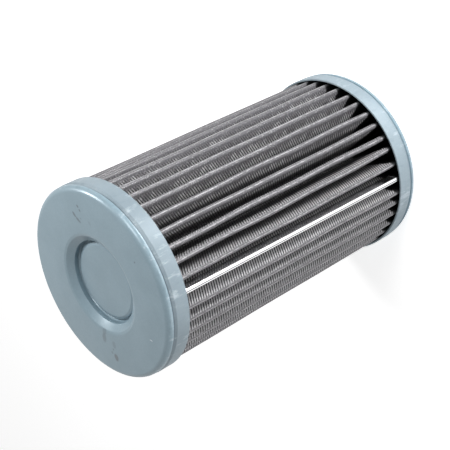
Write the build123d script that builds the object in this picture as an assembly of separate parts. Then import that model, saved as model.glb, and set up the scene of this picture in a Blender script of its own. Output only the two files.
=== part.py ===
"""Return-line hydraulic filter element: pleated wire cloth round a perforated core tube, between
two pressed steel end caps. It stands on its open end at z = 0, with the closed end on top, and its
axis is Z. All sizes are in millimetres.

Each cap, its resin bed and the seal are drawn with the cap's flat outer face at z = 0 and its
skirt hanging down, then put in place. Rounded edges and folds are drawn in a few straight steps,
which keeps the mesh light.
"""

from build123d import *

import os
from math import asin, atan2, cos, degrees, hypot, radians, sin, tan

# Whole element
overall_length = 179.0
skirt_radius = 50.0  # outside of the skirts of both caps

# Pressed end caps, drops measured from the flat outer face
cap_sheet = 1.0
cap_height = 12.8  # flat face to the free edge of the skirt
disc_inset = 0.2  # edge of the disc that closes the end, in from the skirt
disc_edge = 1.5  # bevel that stands for the rounded edge of the disc
crease_depth = 0.8  # radial, between the disc and the skirt
crease_drop = 3.2
bevel_drop = 2.0  # sloping band from the crease to the straight skirt
floor_turn = 2.0  # inside, radial, where the floor turns up to the skirt

# Centre of the closed cap: a sloping lip, a ring groove and a pad
lip_inset = 0.4  # edge of the lip, in from the core tube
lip_width = 3.7
lip_drop = 2.8  # where the lip meets the wall of the groove
groove_width = 1.5
groove_drop = 6.2
pad_drop = 4.3
pad_edge = 1.2

# Centre of the open cap: a collar that locates the core tube
collar_radius = 24.5
neck_drop = 9.0  # free end of the collar

# Rubber seal in the neck
seal_wall = 3.5
seal_inset = 1.8  # below the flat face

# Core tube, rolled from perforated sheet
core_clearance = 0.3  # to the collar
core_sheet = 0.8
core_seam_gap = 0.4
hole_size = 10.0
hole_rows = 3
hole_columns = 4
hole_pitch = 50.0

# Pleat pack: three layers of woven wire cloth, from the outside in
pleat_count = 40
crest_clearance = 0.25  # crests to the inside of the skirts
valley_clearance = 0.3  # valleys to the core tube
bend_radius = 1.4  # outside of a fold
crest_corners = 4  # a crest is bent round in this many steps
valley_corners = 2
support_thickness = 0.34
filter_thickness = 0.12
backing_thickness = 0.30
layer_gap = 0.02

# Folded strip pressed over the seam, where the two end leaves of the pack meet
clip_sheet = 0.35
clip_depth = 6.0
clip_clearance = 0.05
leaf_gap = 0.06  # between the two leaves
pinch_depth = 0.75  # the leaves come together this far below the clip
seam_angle = -116.8  # degrees from +X

# Sizes that follow
skirt_inside = skirt_radius - cap_sheet
disc_radius = skirt_radius - disc_inset
floor_radius = skirt_inside - floor_turn
seal_bore_radius = collar_radius - seal_wall
bevel_end_drop = crease_drop + bevel_drop
collar_inside = collar_radius + cap_sheet
core_inside = collar_inside + core_clearance
core_outside = core_inside + core_sheet
lip_radius = core_inside - lip_inset
groove_radius = lip_radius - lip_width
pad_radius = groove_radius - groove_width
pack_length = overall_length - 2 * bevel_end_drop
pack_thickness = support_thickness + filter_thickness + backing_thickness + 2 * layer_gap
filter_depth = support_thickness + layer_gap
backing_depth = filter_depth + filter_thickness + layer_gap
crest_radius = skirt_inside - crest_clearance
pleat_pitch = 360 / pleat_count
crest_centre = crest_radius - bend_radius
valley_bend = bend_radius - pack_thickness
valley_centre = core_outside + valley_clearance + bend_radius
leaf_face = pack_thickness + leaf_gap / 2
pinch_radius = crest_radius - clip_depth - pinch_depth
leaf_end_radius = crest_radius - clip_sheet - clip_clearance


def turn_by(point, angle):
    """A point of the plan, turned about the axis of the element by degrees."""
    x, y = point
    a = radians(angle)
    return x * cos(a) - y * sin(a), x * sin(a) + y * cos(a)


def pleat_leans():
    """How far the legs lean in from square, at a crest and at a valley, in degrees.

    A leg touches the crest's circle and the valley's circle on opposite sides.
    """
    x, y = turn_by((valley_centre, 0), pleat_pitch / 2)
    run = crest_centre - x
    cross = asin((bend_radius + valley_bend) / hypot(run, y))
    crest = degrees(atan2(y, run) - cross)
    return crest, crest + pleat_pitch / 2


crest_lean, valley_lean = pleat_leans()


def turned(profile):
    """Solid of revolution about Z from points given as radius and height."""
    return revolve(Plane.XZ * make_face(Polyline(*profile, close=True)), Axis.Z)


def rim():
    """Profile of a cap from its flat face, round the skirt, and back to the floor inside."""
    return [
        (disc_radius - disc_edge, 0),
        (disc_radius, -disc_edge),
        (disc_radius - crease_depth, -crease_drop),
        (skirt_radius, -bevel_end_drop),
        (skirt_radius, -cap_height),
        (skirt_inside, -cap_height),
        (skirt_inside, -bevel_end_drop),
        (floor_radius, -cap_sheet),
    ]


def closed_cap():
    """Cap with a lip, a ring groove and a pad pressed into its middle."""
    slope = atan2(lip_drop, lip_radius - groove_radius)
    lip_inside = lip_radius + cap_sheet * tan(slope / 2)
    groove_inside = groove_radius + cap_sheet
    lip_inside_drop = cap_sheet + (lip_inside - groove_inside) * tan(slope)
    pad_inside = pad_radius - cap_sheet
    pad = [
        (0, -pad_drop),
        (pad_radius - pad_edge, -pad_drop),
        (pad_radius, -pad_drop - pad_edge),
        (pad_radius, -groove_drop),
        (groove_radius, -groove_drop),
        (groove_radius, -lip_drop),
        (lip_radius, 0),
    ]
    underside = [
        (lip_inside, -cap_sheet),
        (groove_inside, -lip_inside_drop),
        (groove_inside, -groove_drop - cap_sheet),
        (pad_inside, -groove_drop - cap_sheet),
        (pad_inside, -pad_drop - cap_sheet),
        (0, -pad_drop - cap_sheet),
    ]
    return turned(pad + rim() + underside)


def open_cap():
    """Cap with a hole, whose edge is turned in as a plain neck."""
    neck = [(collar_radius, -neck_drop), (collar_radius, 0)]
    return turned(neck + rim() + [(collar_inside, -cap_sheet), (collar_inside, -neck_drop)])


def seal():
    """Rubber ring bonded inside the neck, level with its free end."""
    return turned([
        (seal_bore_radius, -seal_inset),
        (collar_radius, -seal_inset),
        (collar_radius, -neck_drop),
        (seal_bore_radius, -neck_drop),
    ])


def resin_bed(inside):
    """Cast ring that fills a cap from its floor up to the straight skirt, outside a radius."""
    return turned([
        (inside, -cap_sheet),
        (floor_radius, -cap_sheet),
        (skirt_inside, -bevel_end_drop),
        (inside, -bevel_end_drop),
    ])


def core_tube():
    """Tube with square holes in staggered columns and a butt seam along its length."""
    reach = 4 * core_sheet
    seam = Pos(core_inside, 0) * Rectangle(reach, core_seam_gap)
    tube = extrude(Circle(core_outside) - Circle(core_inside) - seam, pack_length)
    punch = Pos(core_inside, 0) * Box(reach, hole_size, hole_size)
    lowest = (pack_length - (hole_rows - 0.5) * hole_pitch) / 2
    holes = []
    for column in range(hole_columns):
        turn = Rot(0, 0, (column + 0.5) * 360 / hole_columns)
        start = lowest + column % 2 * hole_pitch / 2
        holes += [turn * Pos(0, 0, start + row * hole_pitch) * punch for row in range(hole_rows)]
    return tube - holes


def bend(centre, side, radius, lean, corners, angle):
    """Corners of a bend that stands at an angle; side is 1 for a crest and -1 for a valley."""
    sweep = 180 - 2 * lean
    distance = radius / cos(radians(sweep / 2 / corners))
    points = []
    for k in range(corners):
        x, y = turn_by((distance, 0), ((k + 0.5) / corners - 0.5) * sweep)
        points.append(turn_by((centre + side * x, y), angle))
    return points


def valley(depth, angle):
    """Corners of a valley, on the surface this deep in the pack."""
    return bend(valley_centre, -1, valley_bend + depth, valley_lean, valley_corners, angle)


def round_crest(depth, angle):
    """Corners of a crest on the coarse cloth outside."""
    return bend(crest_centre, 1, bend_radius - depth, crest_lean, crest_corners, angle)


def square_crest(depth, angle):
    """Two corners of a crest on a cloth further in, set back to fit inside the round ones."""
    step = radians(180 / crest_corners)
    set_back = (bend_radius - filter_depth) * (1 - sin(step)) / cos(step)
    reach = set_back - (depth - filter_depth)
    lean = radians(crest_lean)
    y = (bend_radius - depth - reach * sin(lean)) / cos(lean)
    return [turn_by((crest_centre + reach, side * y), angle) for side in (-1, 1)]


def leaf(depth, side):
    """End and pinch of one leaf of the seam; side is 1 or -1."""
    y = side * (leaf_face - depth)
    return [turn_by((x, y), seam_angle) for x in (leaf_end_radius, pinch_radius)]


def folded_path(depth, crest):
    """Corners of one surface of a cloth, from leaf to leaf right round the pack."""
    path = leaf(depth, 1) + valley(depth, seam_angle + pleat_pitch / 2)
    for k in range(1, pleat_count):
        angle = seam_angle + k * pleat_pitch
        path += crest(depth, angle) + valley(depth, angle + pleat_pitch / 2)
    return path + leaf(depth, -1)[::-1]


def cloth(depth, thickness, crest):
    """One layer of the pack, standing at z = 0."""
    outside = folded_path(depth, crest)
    inside = folded_path(depth + thickness, crest)
    return extrude(make_face(Polyline(*outside, *inside[::-1], close=True)), pack_length)


def seam_clip():
    """Strip folded to a U over the two leaves of the seam, with its back level with the crests."""
    width = 2 * (leaf_face + clip_clearance)
    middle = Pos(crest_radius - clip_depth / 2, 0)
    strip = middle * Rectangle(clip_depth, width + 2 * clip_sheet)
    section = strip - Pos(-clip_sheet, 0) * middle * Rectangle(clip_depth, width)
    return Rot(0, 0, seam_angle) * extrude(section, pack_length)


closed_end = Pos(0, 0, overall_length)
open_end = Rot(180, 0, 0)
between_beds = Pos(0, 0, bevel_end_drop)

nodes = {
    "closed_end_cap": closed_end * closed_cap(),
    "closed_end_resin": closed_end * resin_bed(core_inside),
    "open_end_cap": open_end * open_cap(),
    "open_end_resin": open_end * resin_bed(collar_inside),
    "seal_ring": open_end * seal(),
    "core_tube": between_beds * core_tube(),
    "outer_support_mesh": between_beds * cloth(0, support_thickness, round_crest),
    "filter_mesh": between_beds * cloth(filter_depth, filter_thickness, square_crest),
    "inner_support_mesh": between_beds * cloth(backing_depth, backing_thickness, square_crest),
    "seam_clip": between_beds * seam_clip(),
}

os.makedirs("parts", exist_ok=True)
for name, solid in nodes.items():
    export_step(solid, f"parts/{name}.step")
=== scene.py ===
from collections import namedtuple
from math import atan2, cos, exp, hypot, pi, radians, sin, tan

import bpy
import numpy as np
from mathutils import Matrix, Vector


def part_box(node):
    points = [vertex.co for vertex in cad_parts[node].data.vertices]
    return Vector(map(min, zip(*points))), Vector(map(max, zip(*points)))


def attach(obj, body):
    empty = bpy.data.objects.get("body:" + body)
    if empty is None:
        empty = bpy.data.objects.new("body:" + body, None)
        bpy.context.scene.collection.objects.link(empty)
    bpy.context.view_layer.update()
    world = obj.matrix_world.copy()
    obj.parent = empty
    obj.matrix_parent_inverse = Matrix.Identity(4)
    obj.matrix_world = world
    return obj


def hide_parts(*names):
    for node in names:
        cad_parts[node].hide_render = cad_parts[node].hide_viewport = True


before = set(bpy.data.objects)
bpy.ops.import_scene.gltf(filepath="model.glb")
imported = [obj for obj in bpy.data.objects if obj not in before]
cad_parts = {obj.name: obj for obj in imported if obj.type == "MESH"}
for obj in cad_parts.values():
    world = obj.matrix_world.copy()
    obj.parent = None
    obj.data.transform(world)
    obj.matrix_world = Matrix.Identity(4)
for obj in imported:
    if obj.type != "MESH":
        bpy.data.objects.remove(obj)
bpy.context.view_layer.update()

MM = 0.001
LOW, HIGH = 0, 1
X, Z = 0, 2


def edge(node, corner, axis):
    """Where the box of a CAD node ends, in millimetres."""
    return round(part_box(node)[corner][axis] / MM, 2)


# Sizes in millimetres, from the frame
LENGTH = edge("closed_end_cap", HIGH, Z)
SKIRT = edge("closed_end_cap", HIGH, X)
CAP_HEIGHT = edge("open_end_cap", HIGH, Z)
COLLAR = edge("seal_ring", HIGH, X)
NECK_DROP = edge("seal_ring", HIGH, Z)
CORE_OUTSIDE = edge("core_tube", HIGH, X)
PACK_START = edge("outer_support_mesh", LOW, Z)
PACK_END = edge("outer_support_mesh", HIGH, Z)

# Sizes in millimetres, as in the part
CAP_SHEET = 1.0
CORE_SHEET = 0.8
DISC = SKIRT - 0.2
BEVEL_DROP = PACK_START
FLOOR_EDGE = SKIRT - CAP_SHEET - 2.0
LIP = CORE_OUTSIDE - CORE_SHEET - 0.4
GROOVE = LIP - 3.7
PAD = GROOVE - 1.5
PAD_DROP = 4.3
GROOVE_DROP = 6.2
LIP_DROP = 2.8
PLEATS = 40
SUPPORT_THICKNESS = 0.34
FILTER_THICKNESS = 0.12
BACKING_THICKNESS = 0.30
LAYER_GAP = 0.02
FILTER_DEPTH = SUPPORT_THICKNESS + LAYER_GAP
BACKING_DEPTH = FILTER_DEPTH + FILTER_THICKNESS + LAYER_GAP
PACK_THICKNESS = BACKING_DEPTH + BACKING_THICKNESS
CREST_RADIUS = SKIRT - CAP_SHEET - 0.25
CREST_BEND = 1.4
CREST_CENTRE = CREST_RADIUS - CREST_BEND
VALLEY_BEND = CREST_BEND - PACK_THICKNESS
VALLEY_CENTRE = CORE_OUTSIDE + 0.3 + CREST_BEND
LEAF_FACE = PACK_THICKNESS + 0.03
CLIP_SHEET = 0.35
CLIP_DEPTH = 6.0
CLIP_CLEARANCE = 0.05
PINCH = CREST_RADIUS - CLIP_DEPTH - 0.75
LEAF_END = CREST_RADIUS - CLIP_SHEET - CLIP_CLEARANCE
SEAM_ANGLE = -116.8

# Details that only the scene has, in millimetres
DISC_DROP = 3.12  # middle of the painted shade in the crease
CREASE = SKIRT - 1.1  # radius at its bottom
CREASE_START = 3.3  # drops of its bottom from the flat face
CREASE_END = 3.5
CREASE_SHADE_DROP = 3.45  # middle of the dirt in the crease
RIB_PITCH = 1.53
RIB_DEPTH = 0.15
RIB_RISE = 0.04
RIB_SLANT = 0.73  # how far a rib shifts along the element for each millimetre below the crests
WIRE_PITCH = 0.36
RESIN_HEIGHT = 2.0  # of the black resin on the crests, past the open cap's skirt
RESIN_CLIMB = 0.33  # and how much higher for each millimetre below the crests

# Steps of the meshes
TURN_STEPS = 288
FILLET_STEPS = 7
CREST_STEPS = 8
VALLEY_STEPS = 4
LEAF_COLUMNS = 2
COARSE = np.linspace(PACK_START, PACK_END, 41)  # heights of the rows of a plain surface

# Where the crests stand against even spacing, in degrees, judged. Pleat 0 holds the seam.
SEAM_DRIFT = (1.4, -1.5)  # at the closed end and at the open end
CLOSED_DRIFT = -0.3
CLOSED_SPREAD = 0.25  # for each pleat away from the seam, as far as a quarter turn
OPEN_DRIFT = 0.2
OPEN_CROWDING = 2.5  # of the pleats next to the seam
CROWDING_REACH = 1.3  # in pleats
CREST_SCATTER = 0.25
CREST_WOBBLE = (0.08, 0.26)  # least and most of a crest's waves along its length
VALLEY_SHARE = 0.6  # of the drift of the crests beside it

# How far the crests stand out from their even radius, least and most, in millimetres
CREST_REACH = (-0.25, 0.1)

# Camera and surroundings, in metres and degrees
CAMERA_PLACE = (0.0, -0.48999, 0.45722)
CAMERA_AZIMUTH = 90.2966  # direction of view, from +X
CAMERA_DIP = 36.3548  # of the view, below level
CAMERA_ROLL = -117.5246
FOCAL_LENGTH = 94.26
SENSOR_WIDTH = 36
FLOOR_REACH = 30.0
FLOOR_GLOW = 0.62
ROOM_LIGHT = 0.25


def linear(red, green, blue):
    """Colour for a shader from the 0 to 255 values it should show."""
    return tuple((v / 255) ** 2.2 for v in (red, green, blue)) + (1.0,)


# Materials

class Graph:
    """Short ways to add the nodes of one material. Object coordinates are in metres."""

    def __init__(self, name):
        self.material = bpy.data.materials.new(name)
        self.material.use_nodes = True
        self.tree = self.material.node_tree
        self.shader = self.tree.nodes["Principled BSDF"]
        self.object = self.tree.nodes.new("ShaderNodeTexCoord").outputs["Object"]
        self.x, self.y, self.z = self.split(self.object)

    def plug(self, value, socket):
        if isinstance(value, bpy.types.NodeSocket):
            self.tree.links.new(value, socket)
        else:
            socket.default_value = value

    def split(self, vector):
        node = self.tree.nodes.new("ShaderNodeSeparateXYZ")
        self.tree.links.new(vector, node.inputs[0])
        return node.outputs

    def math(self, operation, a, b=0.0):
        node = self.tree.nodes.new("ShaderNodeMath")
        node.operation = operation
        self.plug(a, node.inputs[0])
        self.plug(b, node.inputs[1])
        return node.outputs[0]

    def add(self, a, b):
        return self.math("ADD", a, b)

    def subtract(self, a, b):
        return self.math("SUBTRACT", a, b)

    def multiply(self, a, b):
        return self.math("MULTIPLY", a, b)

    def divide(self, a, b):
        return self.math("DIVIDE", a, b)

    def length(self, a, b):
        return self.math("SQRT", self.add(self.multiply(a, a), self.multiply(b, b)))

    def radius(self):
        """Distance from the axis of the element."""
        return self.length(self.x, self.y)

    def uv_map(self, name):
        node = self.tree.nodes.new("ShaderNodeUVMap")
        node.uv_map = name
        u, v, _ = self.split(node.outputs[0])
        return u, v

    def stretched(self, x, y, z):
        """Object coordinates scaled along each axis."""
        node = self.tree.nodes.new("ShaderNodeMapping")
        self.tree.links.new(self.object, node.inputs["Vector"])
        node.inputs["Scale"].default_value = (x, y, z)
        return node.outputs[0]

    def noise(self, scale, detail=3.0, roughness=0.5, vector=None):
        node = self.tree.nodes.new("ShaderNodeTexNoise")
        self.plug(vector or self.object, node.inputs["Vector"])
        node.inputs["Scale"].default_value = scale
        node.inputs["Detail"].default_value = detail
        node.inputs["Roughness"].default_value = roughness
        return node.outputs["Fac"]

    def span(self, value, low, high, to_low=0.0, to_high=1.0):
        """value between low and high, taken to another range with soft ends."""
        node = self.tree.nodes.new("ShaderNodeMapRange")
        node.interpolation_type = "SMOOTHSTEP"
        for socket, v in zip(node.inputs, (value, low, high, to_low, to_high)):
            self.plug(v, socket)
        return node.outputs[0]

    def mix(self, factor, a, b):
        node = self.tree.nodes.new("ShaderNodeMix")
        node.data_type = "RGBA"
        self.plug(factor, node.inputs["Factor"])
        self.plug(a, node.inputs["A"])
        self.plug(b, node.inputs["B"])
        return node.outputs["Result"]

    def bump(self, height, strength, distance):
        node = self.tree.nodes.new("ShaderNodeBump")
        node.inputs["Strength"].default_value = strength
        node.inputs["Distance"].default_value = distance
        self.tree.links.new(height, node.inputs["Height"])
        self.tree.links.new(node.outputs[0], self.shader.inputs["Normal"])

    def set(self, **values):
        for name, value in values.items():
            self.plug(value, self.shader.inputs[name.replace("_", " ")])


# Oval mark: its centre and half its length and width in millimetres, turn in degrees, and strength
Smudge = namedtuple("Smudge", "x y long wide turn strength tint")


def cap_paint(name, crease, crease_shade_strength, smudges=(), brushed=False, shade=0):
    """Semi-gloss blue-grey paint, mottled and scuffed with painted glints, with painted shade in the
    crease and any smudges.
    """
    g = Graph(name)
    grain = g.noise(900.0, 3.0, 0.6)
    scuff = g.noise(1.0, 5.0, 0.7, g.stretched(220.0, 220.0, 60.0))
    colour = mottled_paint(g, grain, (139, 153, 161) if brushed else (132, 154, 165), shade)
    colour = scuffed_glinting_side(g, colour, scuff)
    # painted shade: a dark band in the crease between the disc and the skirt
    colour = g.mix(crease_shade(g, crease, crease_shade_strength), colour, linear(58, 76, 88))
    for smudge in smudges:
        colour = g.mix(smudge_factor(g, smudge), colour, smudge.tint)
    ripple = g.noise(28.0, 2.0)
    g.bump(g.add(ripple, g.multiply(grain, 0.008)), 0.3, 0.0006)
    g.set(Base_Color=colour, Metallic=0.1, Specular_IOR_Level=0.65)
    if brushed:
        tangent = g.tree.nodes.new("ShaderNodeTangent")
        tangent.direction_type = "RADIAL"
        tangent.axis = "Z"
        g.set(Anisotropic=0.7, Anisotropic_Rotation=0.25, Tangent=tangent.outputs[0])
    smooth, rough = (0.50, 0.58) if brushed else (0.30, 0.38)
    g.set(Roughness=g.span(scuff, 0.3, 0.7, smooth, rough))
    return g.material


def mottled_paint(g, grain, pale, shade):
    """Paint with slow patches of a slightly different tone and a fine grain."""
    darker, lighter = [linear(*(v - shade + step for v in pale)) for step in (-3, 3)]
    colour = g.mix(g.span(g.noise(45.0, 4.0, 0.6), 0.35, 0.65), darker, lighter)
    return g.mix(g.span(grain, 0.3, 0.7, 0.0, 0.25), colour, linear(120, 138, 149))


def scuffed_glinting_side(g, colour, scuff):
    """Pale scuffs, partly painted glints, and dull patches, on the outside of the skirt only."""
    on_side = g.span(g.radius(), (SKIRT - 1.4) * MM, (SKIRT - 0.7) * MM)
    pale = g.multiply(g.multiply(g.span(scuff, 0.54, 0.7), on_side), 0.42)
    dull = g.multiply(g.multiply(g.span(scuff, 0.46, 0.3), on_side), 0.3)
    # pale streaks along the skirt: scuffs and painted glints
    colour = g.mix(pale, colour, linear(205, 215, 222))
    return g.mix(dull, colour, linear(98, 114, 124))


def crease_shade(g, crease, crease_shade_strength):
    """Factor of the painted shade in the crease between the disc and the skirt, in patches."""
    far = g.math("ABSOLUTE", g.subtract(g.z, crease * MM))
    near = g.span(far, 0.25 * MM, 0.6 * MM, crease_shade_strength, 0.0)
    outside = g.span(g.radius(), (SKIRT - 2.0) * MM, (SKIRT - 1.4) * MM)
    patches = g.span(g.noise(32.0, 3.0, 0.6), 0.42, 0.58, 0.3, 1.0)
    return g.multiply(g.multiply(near, outside), patches)


def smudge_factor(g, smudge):
    """Factor of an oval smudge with a ragged edge on the flat face."""
    turn = radians(smudge.turn)
    dx = g.subtract(g.x, smudge.x * MM)
    dy = g.subtract(g.y, smudge.y * MM)
    along = g.add(g.multiply(dx, cos(turn)), g.multiply(dy, sin(turn)))
    across = g.subtract(g.multiply(dy, cos(turn)), g.multiply(dx, sin(turn)))
    far = g.length(g.divide(along, smudge.long * MM), g.divide(across, smudge.wide * MM))
    ragged = g.add(far, g.multiply(g.noise(900.0), 0.6))
    return g.span(ragged, 1.45, 0.95, 0.0, smudge.strength)


def cloth_wire(name):
    """Grey woven wire, ribbed on the flanks, with a painted highlight along the crests, painted light on
    one flank of each pleat, painted shade down the flanks and in the valleys, and black resin at the
    open end.
    """
    g = Graph(name)
    across, along = g.uv_map("cloth")
    crest_top, flank = g.uv_map("fold")
    below = g.subtract(CREST_RADIUS * MM, g.radius())
    turns = g.divide(g.add(along, g.multiply(below, RIB_SLANT)), RIB_PITCH * MM)
    wire = wire_height(g, across, turns)
    speck = g.noise(1500.0, 2.0, 0.6)
    # sharp is 1 on the flank after each crest, which gets painted light: brighter rib tops and darker
    # grooves
    sharp = g.span(flank, 0.6, 0.95)
    crest = g.multiply(g.span(below, 3.15 * MM, 1.15 * MM), g.subtract(1.0, sharp))
    resin = resin_factor(g, below)
    colour = ribbed_colour(g, below, turns, wire, sharp)
    colour = g.mix(crest, colour, linear(92, 91, 94))
    # painted highlight: a pale line along the top of each crest, broken up by noise
    highlight_breaks = g.span(g.noise(420.0, 3.0, 0.6), 0.38, 0.6, 0.25, 0.95)
    crest_highlight = g.multiply(g.span(crest_top, 0.25, 0.9), highlight_breaks)
    colour = g.mix(crest_highlight, colour, linear(172, 171, 174))
    colour = speckled(g, colour, speck)
    colour = g.mix(resin, colour, linear(13, 13, 14))
    rib = g.math("ABSOLUTE", g.math("COSINE", g.multiply(turns, pi)))
    relief = g.add(g.multiply(rib, 0.6), g.multiply(wire, 0.4))
    relief = g.multiply(relief, g.subtract(1.0, g.multiply(crest, 0.85)))
    g.bump(g.add(relief, g.multiply(speck, 0.15)), 0.8, 0.0003)
    g.set(Base_Color=colour, Metallic=g.subtract(0.1, g.multiply(resin, 0.1)))
    g.set(Roughness=g.subtract(0.42, g.multiply(resin, 0.12)), Specular_IOR_Level=0.3)
    g.set(Coat_Weight=g.multiply(crest, 0.3), Coat_Roughness=0.12, Coat_IOR=1.45)
    return g.material


def wire_height(g, across, turns):
    """Height of the thin wires between two ribs, which are set off by half a wire in each next row."""
    row = g.math("FLOOR", g.add(turns, 0.5))
    shift = g.multiply(g.math("MODULO", row, 2.0), 0.5)
    strand = g.add(g.divide(across, WIRE_PITCH * MM), shift)
    return g.math("ABSOLUTE", g.math("SINE", g.multiply(strand, pi)))


def ribbed_colour(g, below, turns, wire, sharp):
    """Stripes of ribs and grooves, with painted shade that strengthens them down the flanks and darkens
    the valleys.
    """
    waver = g.subtract(g.noise(1.0, vector=g.stretched(90.0, 90.0, 330.0)), 0.5)
    # painted shade: the grooves darken and the stripes gain contrast deeper below the crests
    depth_shade = g.span(g.subtract(below, g.multiply(waver, 14.0 * MM)), 2.95 * MM, 6.95 * MM)
    # painted light: brighter rib tops and darker grooves on one flank of each pleat
    groove = g.mix(sharp, linear(68, 67, 70), linear(24, 24, 25))
    groove = g.mix(depth_shade, groove, linear(3, 3, 4))
    top = g.mix(sharp, linear(124, 123, 126), linear(208, 207, 210))
    top = g.mix(depth_shade, top, linear(216, 215, 217))
    wave = g.math("COSINE", g.multiply(turns, 2 * pi))
    colour = g.mix(g.span(wave, -0.5, 0.5), groove, top)
    colour = g.mix(g.span(wire, 0.0, 0.5, 0.3, 0.0), colour, linear(60, 59, 61))
    # painted shade: black deep in the valleys
    return g.mix(g.span(below, 6.75 * MM, 11.75 * MM, 0.0, 0.8), colour, linear(12, 12, 13))


def speckled(g, colour, speck):
    """Slow patches of grey, and pale and dark specks."""
    colour = g.mix(g.span(g.noise(60.0, 4.0, 0.6), 0.3, 0.7, 0.0, 0.25), colour, linear(92, 91, 95))
    colour = g.mix(g.span(speck, 0.55, 0.75, 0.0, 0.55), colour, linear(200, 199, 202))
    return g.mix(g.span(speck, 0.45, 0.25, 0.0, 0.55), colour, linear(50, 49, 51))


def resin_factor(g, below):
    """1 where the black resin of the open end has crept up the pleats, higher in the valleys."""
    level = g.add(g.multiply(below, RESIN_CLIMB), (CAP_HEIGHT + RESIN_HEIGHT) * MM)
    ragged = g.multiply(g.subtract(g.noise(260.0, 4.0), 0.5), 4.0 * MM)
    above = g.subtract(g.z, g.add(level, ragged))
    return g.span(above, -0.3 * MM, 0.5 * MM, 1.0, 0.0)


def clip_steel(name, shade=245):
    """Bright polished strip with fine drawing lines, blacked by resin at its open end."""
    g = Graph(name)
    lines = g.noise(1.0, 3.0, 0.6, g.stretched(2600.0, 2600.0, 25.0))
    darker = linear(shade - 7, shade - 7, shade - 5)
    lighter = linear(shade + 7, shade + 7, shade + 8)
    colour = g.mix(g.span(lines, 0.3, 0.7), darker, lighter)
    resin_edge = CAP_HEIGHT + RESIN_HEIGHT
    resin = g.span(g.z, (resin_edge - 0.4) * MM, resin_edge * MM, 1.0, 0.0)
    g.bump(lines, 0.1, 0.00005)
    g.set(Base_Color=g.mix(resin, colour, linear(14, 14, 15)))
    g.set(Metallic=g.subtract(1.0, resin), Roughness=0.22)
    return g.material


def black_resin(name):
    """Cast resin, glossy with slow waves and dust."""
    g = Graph(name)
    waves = g.noise(90.0)
    dust = g.noise(1600.0, 2.0)
    g.bump(waves, 0.4, 0.0008)
    g.set(Base_Color=g.mix(g.span(dust, 0.6, 0.8, 0.0, 0.4), linear(13, 13, 14), linear(42, 42, 43)))
    g.set(Roughness=g.span(waves, 0.3, 0.7, 0.25, 0.4))
    return g.material


def zinc(name):
    """Dull plated steel of the core tube."""
    g = Graph(name)
    spangle = g.noise(130.0, 5.0, 0.65)
    scratches = g.noise(1.0, 2.0, vector=g.stretched(300.0, 300.0, 2600.0))
    g.bump(scratches, 0.15, 0.0001)
    g.set(Base_Color=g.mix(g.span(spangle, 0.35, 0.65), linear(150, 151, 153), linear(186, 187, 189)))
    g.set(Metallic=0.9, Roughness=g.span(spangle, 0.3, 0.7, 0.32, 0.5))
    return g.material


def seal_rubber(name):
    """Matt black rubber with a bloom of grey."""
    g = Graph(name)
    bloom = g.noise(220.0, 4.0)
    fine = g.noise(2500.0, 2.0)
    g.bump(fine, 0.25, 0.0001)
    g.set(Base_Color=g.mix(g.span(bloom, 0.4, 0.7), linear(26, 26, 27), linear(44, 44, 45)))
    g.set(Roughness=0.62)
    return g.material


def shown_rays(tree):
    """1 for rays that show the background: those of the camera, of gloss and of glass."""
    path = tree.nodes.new("ShaderNodeLightPath")
    shown = path.outputs["Is Camera Ray"]
    for kind in ("Is Glossy Ray", "Is Transmission Ray"):
        either = tree.nodes.new("ShaderNodeMath")
        either.operation = "MAXIMUM"
        tree.links.new(shown, either.inputs[0])
        tree.links.new(path.outputs[kind], either.inputs[1])
        shown = either.outputs[0]
    return shown


def studio_floor(name):
    """Pale floor that renders white and keeps a soft shadow."""
    g = Graph(name)
    colour = g.mix(g.noise(3.0, 2.0), (0.86, 0.86, 0.86, 1.0), (0.9, 0.9, 0.9, 1.0))
    g.set(Base_Color=colour, Roughness=0.9)
    glow = g.tree.nodes.new("ShaderNodeEmission")
    g.plug(g.multiply(shown_rays(g.tree), FLOOR_GLOW), glow.inputs["Strength"])
    both = g.tree.nodes.new("ShaderNodeAddShader")
    g.tree.links.new(g.shader.outputs[0], both.inputs[0])
    g.tree.links.new(glow.outputs[0], both.inputs[1])
    g.tree.links.new(both.outputs[0], g.tree.nodes["Material Output"].inputs["Surface"])
    return g.material


# Meshes

def add_piece(name, points, faces, material, node, sharp):
    """Smooth mesh from points in millimetres, in place of a CAD node; sharp is an angle in degrees."""
    mesh = bpy.data.meshes.new(name)
    mesh.from_pydata([tuple(p) for p in np.asarray(points) * MM], [], faces)
    mesh.polygons.foreach_set("use_smooth", [True] * len(mesh.polygons))
    mesh.set_sharp_from_angle(angle=radians(sharp))
    mesh.materials.append(material)
    piece = bpy.data.objects.new(name, mesh)
    bpy.context.scene.collection.objects.link(piece)
    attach(piece, "root")
    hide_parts(node)
    return piece


def rounded(corners):
    """Closed profile through corners given as radius, height and fillet."""
    path = []
    for k, (r, h, fillet) in enumerate(corners):
        here = np.array((r, h))
        if not fillet:
            path.append(here)
            continue
        before = np.array(corners[k - 1][:2]) - here
        after = np.array(corners[(k + 1) % len(corners)][:2]) - here
        before = before / np.linalg.norm(before)
        after = after / np.linalg.norm(after)
        half = np.arccos(np.clip(before @ after, -1, 1)) / 2
        middle = (before + after) / np.linalg.norm(before + after)
        centre = here + middle * fillet / sin(half)
        start = here + before * fillet / tan(half) - centre
        end = here + after * fillet / tan(half) - centre
        first = atan2(start[1], start[0])
        sweep = (atan2(end[1], end[0]) - first + pi) % (2 * pi) - pi
        for step in range(FILLET_STEPS + 1):
            angle = first + sweep * step / FILLET_STEPS
            path.append(centre + fillet * np.array((cos(angle), sin(angle))))
    return path


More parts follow.
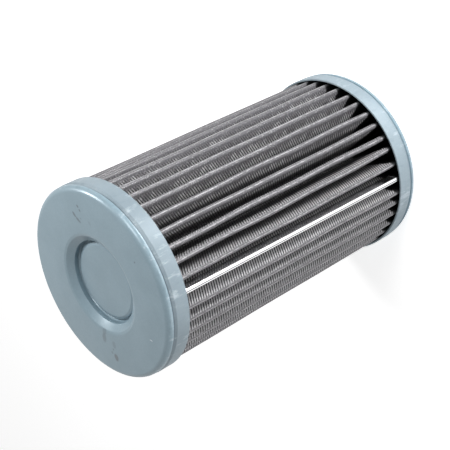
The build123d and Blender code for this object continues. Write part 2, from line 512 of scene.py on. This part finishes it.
def cap_skin(name, corners, place, paints, node):
    """Turned cap with one paint on its face and one on its skirt.

    place takes a height in the profile, where the flat face is at 0, to a height in the part.
    """
    angles = np.arange(TURN_STEPS) * 2 * pi / TURN_STEPS
    points = []
    rings = []
    for r, h in rounded(corners):
        first = len(points)
        on_axis = r < 1e-6
        points += [(r * cos(a), r * sin(a), place(h)) for a in (angles[:1] if on_axis else angles)]
        rings.append([first] * TURN_STEPS if on_axis else list(range(first, len(points))))
    upright = place(1) > place(0)
    faces = []
    for low, high in zip(rings, rings[1:] + rings[:1]):
        for k in range(TURN_STEPS):
            n = (k + 1) % TURN_STEPS
            quad = list(dict.fromkeys([low[k], low[n], high[n], high[k]]))
            if len(quad) > 2:
                faces.append(quad[::-1] if upright else quad)
    piece = add_piece(name, points, faces, paints[0], node, sharp=35)
    piece.data.materials.append(paints[1])
    for face in piece.data.polygons:
        past_crease = hypot(face.center.x, face.center.y) > CREASE * MM
        drop = abs(face.center.z - place(0) * MM)
        face.material_index = int(past_crease and drop > CREASE_START * MM)


def rim_corners():
    """Cap profile from the flat face round the skirt and back along the floor inside."""
    inside = SKIRT - CAP_SHEET
    return [
        (DISC, 0, 3.0),
        (DISC, -DISC_DROP, 0.1),
        (CREASE, -CREASE_START, 0.1),
        (CREASE + 0.05, -CREASE_END, 0.1),
        (SKIRT, -BEVEL_DROP, 0.5),
        (SKIRT, -CAP_HEIGHT, 0.2),
        (inside, -CAP_HEIGHT, 0.2),
        (inside, -BEVEL_DROP, 0.5),
        (FLOOR_EDGE, -CAP_SHEET, 0),
    ]


def closed_corners():
    """Profile of the closed cap, with its lip, groove and pad pressed out of one sheet."""
    pad = [
        (0, -PAD_DROP, 0),
        (PAD - 1.7, -PAD_DROP, 1.5),
        (PAD, -PAD_DROP - 0.7, 0.7),
        (PAD, -GROOVE_DROP, 0),
        (PAD + 0.75, -GROOVE_DROP - 0.1, 0.4),
        (GROOVE, -GROOVE_DROP + 1.0, 0.5),
        (GROOVE, -LIP_DROP, 0.15),
        (LIP - 0.3, -0.35, 0.3),
        (LIP + 1.0, 0, 1.0),
    ]
    underside = [
        (LIP + 0.33, -CAP_SHEET, 2.0),
        (GROOVE + CAP_SHEET, -LIP_DROP - 0.49, 1.0),
        (GROOVE + CAP_SHEET, -GROOVE_DROP - CAP_SHEET, 0.8),
        (PAD - CAP_SHEET, -GROOVE_DROP - CAP_SHEET, 0.4),
        (PAD - CAP_SHEET, -PAD_DROP - CAP_SHEET, 0.4),
        (0, -PAD_DROP - CAP_SHEET, 0),
    ]
    return pad + rim_corners() + underside


def open_corners():
    """Profile of the open cap, whose neck is turned in."""
    neck = [(COLLAR, -NECK_DROP, 0), (COLLAR, 0, 1.5)]
    inside = COLLAR + CAP_SHEET
    return neck + rim_corners() + [(inside, -CAP_SHEET, 0), (inside, -NECK_DROP, 0)]


def face_smudges():
    """Dirty marks and one scratch on the closed face."""
    grey = linear(92, 104, 110)
    dark = linear(88, 92, 96)
    pale = linear(225, 232, 236)
    return [
        Smudge(34.6, -10.1, 1.7, 0.8, 8, 0.8, grey),
        Smudge(31.4, -11.1, 2.3, 0.75, 24, 0.75, grey),
        Smudge(36.9, -16.1, 1.0, 0.6, 20, 0.85, grey),
        Smudge(34.7, -16.1, 0.75, 0.6, 0, 0.8, grey),
        Smudge(31.2, -13.6, 0.6, 0.5, 0, 0.4, grey),
        Smudge(27.1, -18.7, 1.3, 0.8, 0, 0.2, grey),
        Smudge(1.5, -38.1, 0.5, 0.5, 0, 0.8, grey),
        Smudge(-21.4, 15.8, 2.0, 1.6, -50, 0.4, grey),
        Smudge(-24.1, 18.6, 3.0, 1.6, -40, 0.5, grey),
        Smudge(-29.3, 13.4, 2.2, 1.4, -30, 0.35, grey),
        Smudge(-31.2, 16.1, 0.7, 0.6, 0, 0.5, grey),
        Smudge(-32.4, 18.4, 0.8, 0.7, 0, 0.5, grey),
        Smudge(-35.4, 17.1, 2.2, 1.6, -20, 0.7, dark),
        Smudge(-34.0, -19.6, 1.1, 0.25, -130, 0.8, pale),
    ]


def caps():
    """Both painted caps, with the roundings that pressing leaves."""
    closed_crease = LENGTH - CREASE_SHADE_DROP
    # the painted shade in the crease is strong on the closed cap and faint on the open cap
    closed_paints = [
        cap_paint("cap paint, closed end", closed_crease, crease_shade_strength=0.75, smudges=face_smudges()),
        # painted shade: the closed skirt's paint is 10 darker than the open skirt's
        cap_paint("cap paint, closed skirt", closed_crease, crease_shade_strength=0.75, brushed=True, shade=10),
    ]
    open_paints = [
        cap_paint("cap paint, open end", CREASE_SHADE_DROP, crease_shade_strength=0.1),
        cap_paint("cap paint, open skirt", CREASE_SHADE_DROP, crease_shade_strength=0.1, brushed=True),
    ]
    cap_skin("closed_cap_skin", closed_corners(), lambda h: LENGTH + h, closed_paints, "closed_end_cap")
    cap_skin("open_cap_skin", open_corners(), lambda h: -h, open_paints, "open_end_cap")


def crest_drift(number):
    """How far a crest stands from even spacing at the closed end and at the open end, in degrees."""
    if number == 0:
        return SEAM_DRIFT
    beside_seam = exp(-(((number + 0.5) / CROWDING_REACH) ** 2))
    away = min(abs(number), PLEATS // 2 - abs(number))
    return CLOSED_DRIFT + CLOSED_SPREAD * away, OPEN_DRIFT - OPEN_CROWDING * beside_seam


def polar(radius, angle):
    """Points of the plan from radii and angles in radians, x in the first row and y in the second."""
    return np.stack([radius * np.cos(angle), radius * np.sin(angle)])


class Pleats:
    """Places of the crests and valleys at a set of heights, with small seeded irregularities."""

    def __init__(self, heights):
        rng = np.random.default_rng(7)
        way = (heights - PACK_START) / (PACK_END - PACK_START)
        crests = []
        self.reach = []
        for k in range(PLEATS):
            number = k if k <= PLEATS // 2 else k - PLEATS
            scatter = rng.uniform(-CREST_SCATTER, CREST_SCATTER, 2) * (number != 0)
            closed, opened = crest_drift(number) + scatter
            slow, quick = rng.uniform(*CREST_WOBBLE, 2) * (number != 0)
            start = rng.uniform(0, 2 * pi, 3)
            wobble = slow * np.sin(2 * pi * way * 1.1 + start[0])
            wobble = wobble + quick * np.sin(2 * pi * way * 2.7 + start[1])
            drift = opened + (closed - opened) * way
            crests.append(SEAM_ANGLE + 360 / PLEATS * number + drift + wobble)
            reach = rng.uniform(*CREST_REACH)
            self.reach.append(reach + 0.08 * np.sin(2 * pi * way * 1.7 + start[2]))
        self.crest = np.radians(np.array(crests))
        gap = (np.roll(self.crest, -1, axis=0) - self.crest) % (2 * pi)
        even = np.radians(SEAM_ANGLE + 360 / PLEATS * (np.arange(PLEATS) + 0.5))[:, None]
        drift = (self.crest + gap / 2 - even + pi) % (2 * pi) - pi
        self.valley = even + drift * VALLEY_SHARE

    def crest_circle(self, k):
        """Centre and radius of the crest's outside bend; the seam pleat has its pinch there."""
        if k == 0:
            return polar(PINCH, self.crest[0]), LEAF_FACE
        return polar(CREST_CENTRE + self.reach[k], self.crest[k]), CREST_BEND

    def valley_centre(self, k):
        return polar(VALLEY_CENTRE, self.valley[k % PLEATS])

    def leg_normal(self, k, side):
        """Angle of the outward normal of one leg of a pleat; side is 1 or -1."""
        centre, bend = self.crest_circle(k)
        run = self.valley_centre(k if side > 0 else k - 1) - centre
        lean = np.arccos((bend + VALLEY_BEND) / np.hypot(run[0], run[1]))
        return np.arctan2(run[1], run[0]) - side * lean

    def pleat_columns(self, k, depth):
        centre, bend = self.crest_circle(k)
        first = self.leg_normal(k, -1)
        sweep = (self.leg_normal(k, 1) - first) % (2 * pi)
        return [centre + polar(bend - depth, first + sweep * s / CREST_STEPS)
                for s in range(CREST_STEPS + 1)]

    def valley_columns(self, k, depth):
        centre = self.valley_centre(k)
        first = self.leg_normal(k, 1) + pi
        sweep = (first - self.leg_normal((k + 1) % PLEATS, -1) - pi) % (2 * pi)
        return [centre + polar(VALLEY_BEND + depth, first - sweep * s / VALLEY_STEPS)
                for s in range(VALLEY_STEPS + 1)]

    def leaf_columns(self, depth, side):
        """Free end and pinch of one leaf of the seam; side is 1 or -1."""
        centre, face = self.crest_circle(0)
        across = side * polar(1, self.crest[0] + pi / 2)
        end = centre * LEAF_END / PINCH
        return [end + across * (face - depth), centre + across * (face - depth)]

    def columns(self, depth):
        """All columns of one surface of the cloth, from leaf to leaf round the pack, by pleat."""
        groups = []
        for k in range(PLEATS):
            start = self.pleat_columns(k, depth) if k else self.leaf_columns(depth, 1)
            groups.append(start + self.valley_columns(k, depth))
        groups[-1] += self.leaf_columns(depth, -1)[::-1]
        return groups


def rib_heights():
    """Heights of the rows of points: four to a rib where the cloth can be seen."""
    step = RIB_PITCH / 4
    hidden = 1.0  # how far these rows go on inside the caps
    first = round((CAP_HEIGHT - hidden) / step)
    last = round((LENGTH - CAP_HEIGHT + hidden) / step)
    seen = np.arange(first, last + 1) * step
    return np.concatenate([[PACK_START, PACK_START + 3], seen, [PACK_END - 3, PACK_END]])


def rib_relief(z):
    """How far the ribs stand in from the surface at each height, none at the ends of the pack."""
    relief = RIB_DEPTH * (0.5 - 0.5 * np.cos(2 * pi * z / RIB_PITCH)) - RIB_RISE
    relief[:2] = 0
    relief[-2:] = 0
    return relief


def column_look(k, c, count):
    """Share of the rib's relief at a column, whether it is the top of a crest, and its flank.

    The flank goes from 0 before a crest to 1 after it, and back to 0 over the valley.
    """
    if k > 0 and c <= CREST_STEPS:
        way = c / CREST_STEPS
        return 0.1 + 0.9 * abs(2 * way - 1) ** 3, float(c == CREST_STEPS // 2), way
    leaf = k == 0 and c < LEAF_COLUMNS or k == PLEATS - 1 and c >= count - LEAF_COLUMNS
    first = CREST_STEPS + 1 if k > 0 else LEAF_COLUMNS
    way = (c - first) / VALLEY_STEPS
    return 0.4 if leaf else 0.0, 0.0, min(max(1 - way, 0.0), 1.0)


def outer_surface(columns, z, depth, ribbed):
    """Points of the outer surface, and what the UV maps "cloth" and "fold" hold there.

    The ribs wander a little along the element from one column to the next.
    """
    probe = 0.5  # the surface this much deeper shows which way is inwards
    pleat_room = 20  # steps of the wander that are kept for each pleat
    fade_length = 12  # over which the wander fades towards each end of the pack
    rng = np.random.default_rng(21)
    wander = np.cumsum(rng.normal(0, 0.035, PLEATS * pleat_room))
    wander = np.clip(wander - wander.mean(), -0.5, 0.5)
    fade = np.clip(np.minimum(z - PACK_START, PACK_END - z) / fade_length, 0, 1)
    relief = rib_relief(z) if ribbed else np.zeros(len(z))
    pleats = Pleats(z)
    surface = pleats.columns(depth)
    deeper = pleats.columns(depth + probe)
    points = []
    looks = []
    across = 0.0
    before = None
    for k, c in columns:
        share, crest_top, flank = column_look(k, c, len(surface[k]))
        xy = surface[k][c]
        inward = (deeper[k][c] - xy) / probe
        xy = xy + inward * relief * share
        here = xy[:, len(z) // 2]
        across += 0.0 if before is None else float(np.hypot(*(here - before)))
        before = here
        points += list(zip(xy[0], xy[1], z + wander[k * pleat_room + c] * fade))
        looks += [(across * MM, height * MM, crest_top, flank) for height in z]
    return points, looks


def inner_surface(columns, depth):
    """Points of the plain inner surface, and what the UV maps hold there."""
    surface = Pleats(COARSE).columns(depth)
    points = []
    for k, c in columns:
        points += list(zip(surface[k][c][0], surface[k][c][1], COARSE))
    looks = [(0.0, height * MM, 0.0, 0.0) for height in COARSE] * len(columns)
    return points, looks


def grid_faces(rows, columns, first, flip=False):
    """Quads of a grid of points that is numbered column by column."""
    faces = []
    for c in range(columns - 1):
        for r in range(rows - 1):
            a = first + c * rows + r
            quad = (a, a + rows, a + rows + 1, a + 1)
            faces.append(quad[::-1] if flip else quad)
    return faces


def cloth_faces(columns, rows, base):
    """Faces of both surfaces and of the cut edges; the inner points start at base."""
    inner_rows = len(COARSE)
    count = len(columns)
    faces = grid_faces(rows, count, 0) + grid_faces(inner_rows, count, base, flip=True)
    for i in range(count - 1):
        a, b = i * rows, base + i * inner_rows
        faces.append((a, b, b + inner_rows, a + rows))
        faces.append((a + rows - 1, a + 2 * rows - 1, b + 2 * inner_rows - 1, b + inner_rows - 1))
    seam_start = columns[0] == (0, 0)
    seam_end = columns[-1][0] == PLEATS - 1
    for i, wanted in ((0, seam_start), (count - 1, seam_end)):
        if wanted:
            outer = list(range(i * rows, (i + 1) * rows))
            inner = list(range(base + i * inner_rows, base + (i + 1) * inner_rows))
            end = outer + inner[::-1]
            faces.append(end if i == 0 else end[::-1])
    return faces


def add_uv(piece, name, values):
    """UV map with one pair of values for each point of the mesh."""
    layer = piece.data.uv_layers.new(name=name)
    corners = np.zeros(len(piece.data.loops), int)
    piece.data.loops.foreach_get("vertex_index", corners)
    layer.data.foreach_set("uv", values[corners].ravel())


def cloth_piece(name, node, depth, thickness, groups, material, ribbed=False):
    """One length of one layer of the cloth: its outer and inner surface, joined at the ends."""
    z = rib_heights() if ribbed else COARSE
    sizes = [len(group) for group in Pleats(COARSE).columns(depth)]
    columns = [(k, c) for k in groups for c in range(sizes[k])]
    if groups[-1] + 1 < PLEATS:
        columns.append((groups[-1] + 1, 0))
    outer_points, outer_looks = outer_surface(columns, z, depth, ribbed)
    inner_points, inner_looks = inner_surface(columns, depth + thickness)
    faces = cloth_faces(columns, len(z), len(outer_points))
    piece = add_piece(name, outer_points + inner_points, faces, material, node, sharp=50)
    looks = np.array(outer_looks + inner_looks)
    add_uv(piece, "cloth", looks[:, :2])
    add_uv(piece, "fold", looks[:, 2:])


def pack():
    """The three cloths of the pleat pack; the outer one is cut into four lengths."""
    coarse_wire = cloth_wire("coarse wire cloth")
    fine_wire = cloth_wire("fine wire cloth")
    lengths = 4
    for part in range(lengths):
        groups = range(part * PLEATS // lengths, (part + 1) * PLEATS // lengths)
        cloth_piece(f"outer_cloth_{part + 1}", "outer_support_mesh",
                    0.0, SUPPORT_THICKNESS, groups, coarse_wire, ribbed=True)
    every = range(PLEATS)
    cloth_piece("filter_cloth", "filter_mesh",
                FILTER_DEPTH, FILTER_THICKNESS, every, fine_wire)
    cloth_piece("inner_cloth", "inner_support_mesh",
                BACKING_DEPTH, BACKING_THICKNESS, every, fine_wire)


def clip():
    """Strip folded over the seam, which follows the seam's slant and has a dark line of painted shade
    along its back.
    """
    half = LEAF_FACE + CLIP_CLEARANCE + CLIP_SHEET
    back = CREST_RADIUS
    start = back - CLIP_DEPTH
    bend = 0.5
    bend_steps = 6
    upper = [(start, half)]
    for step in range(bend_steps + 1):
        a = pi / 2 * (1 - step / bend_steps)
        upper.append((back - bend + bend * cos(a), half - bend + bend * sin(a)))
    # narrow face along the back, which carries the painted shade line
    fold_line = [(back, -0.1), (back, -0.5)]
    lower = [(x, -y) for x, y in reversed(upper)]
    gap = half - CLIP_SHEET
    inner = [(start, -gap), (back - CLIP_SHEET, -gap), (back - CLIP_SHEET, gap), (start, gap)]
    section = upper + fold_line + lower + inner
    points = []
    for z, a in zip(COARSE, Pleats(COARSE).crest[0]):
        points += [(x * cos(a) - y * sin(a), x * sin(a) + y * cos(a), z) for x, y in section]
    count = len(section)
    ends = [tuple(range(count)), tuple(range(len(points) - count, len(points)))[::-1]]
    sides = []
    for row in range(len(COARSE) - 1):
        for s in range(count):
            a = row * count + s
            b = row * count + (s + 1) % count
            sides.append((b, a, a + count, b + count))
    steel = clip_steel("clip steel")
    strip = add_piece("seam_strip", points, ends + sides, steel, "seam_clip", sharp=40)
    # painted shade: a dark line along the back of the strip
    strip.data.materials.append(clip_steel("clip steel, shaded line", 80))
    for face in strip.data.polygons[len(ends):]:
        face.material_index = int((face.index - len(ends)) % count == len(upper))


def dress_cad():
    """Materials of the parts that keep their CAD mesh."""
    dressed = {
        "closed_end_resin": black_resin("cast resin"),
        "open_end_resin": black_resin("cast resin, open end"),
        "seal_ring": seal_rubber("seal rubber"),
        "core_tube": zinc("core steel"),
    }
    for node, material in dressed.items():
        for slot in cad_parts[node].material_slots:
            slot.material = material


# Studio

def floor():
    """Wide plain floor under the element."""
    mesh = bpy.data.meshes.new("floor")
    corners = [(-1, -1), (1, -1), (1, 1), (-1, 1)]
    mesh.from_pydata([(FLOOR_REACH * x, FLOOR_REACH * y, 0) for x, y in corners], [], [(0, 1, 2, 3)])
    mesh.materials.append(studio_floor("floor"))
    ground = bpy.data.objects.new("floor", mesh)
    bpy.context.scene.collection.objects.link(ground)


def lamp(name, place, target, size, power):
    """Round soft lamp, sizes in metres and power in watts."""
    data = bpy.data.lights.new(name, "AREA")
    data.shape = "DISK"
    data.size = size
    data.energy = power
    lamp_object = bpy.data.objects.new(name, data)
    lamp_object.location = place
    aim = Vector(target) - Vector(place)
    lamp_object.rotation_mode = "QUATERNION"
    lamp_object.rotation_quaternion = aim.to_track_quat("-Z", "Y")
    bpy.context.scene.collection.objects.link(lamp_object)


def lamps():
    """Two lamps from above and three near the floor, all but the key on the camera's side."""
    lamp("key", (0.345, 0.12, 0.44), (0.0, 0.0, 0.15), 0.12, 1.22)
    lamp("side", (0.13, -0.28, 0.02), (0.0, 0.0, 0.02), 0.10, 0.9)
    lamp("front", (-0.07, -0.42, 0.05), (0.0, 0.0, 0.05), 0.25, 0.74)
    lamp("fill", (-0.42, -0.26, 0.05), (0.0, 0.0, 0.05), 0.40, 0.7)
    lamp("top", (0.19, -0.24, 0.37), (0.0, 0.0, LENGTH * MM), 0.12, 0.46)


def room():
    """World that lights softly and shows white."""
    world = bpy.data.worlds.new("white room")
    world.use_nodes = True
    bpy.context.scene.world = world
    tree = world.node_tree
    light = tree.nodes.new("ShaderNodeBackground")
    white = tree.nodes.new("ShaderNodeBackground")
    for background in (light, white):
        background.inputs["Color"].default_value = (1, 1, 1, 1)
    light.inputs["Strength"].default_value = ROOM_LIGHT
    mix = tree.nodes.new("ShaderNodeMixShader")
    tree.links.new(shown_rays(tree), mix.inputs[0])
    tree.links.new(light.outputs[0], mix.inputs[1])
    tree.links.new(white.outputs[0], mix.inputs[2])
    tree.links.new(mix.outputs[0], tree.nodes["World Output"].inputs["Surface"])


def camera():
    """Camera at the photograph's angle, rolled so that the standing element lies on its side."""
    data = bpy.data.cameras.new("camera")
    data.lens = FOCAL_LENGTH
    data.sensor_width = SENSOR_WIDTH
    view = bpy.data.objects.new("camera", data)
    heading = Matrix.Rotation(radians(CAMERA_AZIMUTH - 90), 4, "Z")
    tilt = Matrix.Rotation(radians(90 - CAMERA_DIP), 4, "X")
    roll = Matrix.Rotation(radians(CAMERA_ROLL), 4, "Z")
    view.matrix_world = Matrix.Translation(CAMERA_PLACE) @ heading @ tilt @ roll
    bpy.context.scene.collection.objects.link(view)
    bpy.context.scene.camera = view


caps()
pack()
clip()
dress_cad()
floor()
lamps()
room()
camera()
bpy.context.scene.view_settings.view_transform = "Standard"
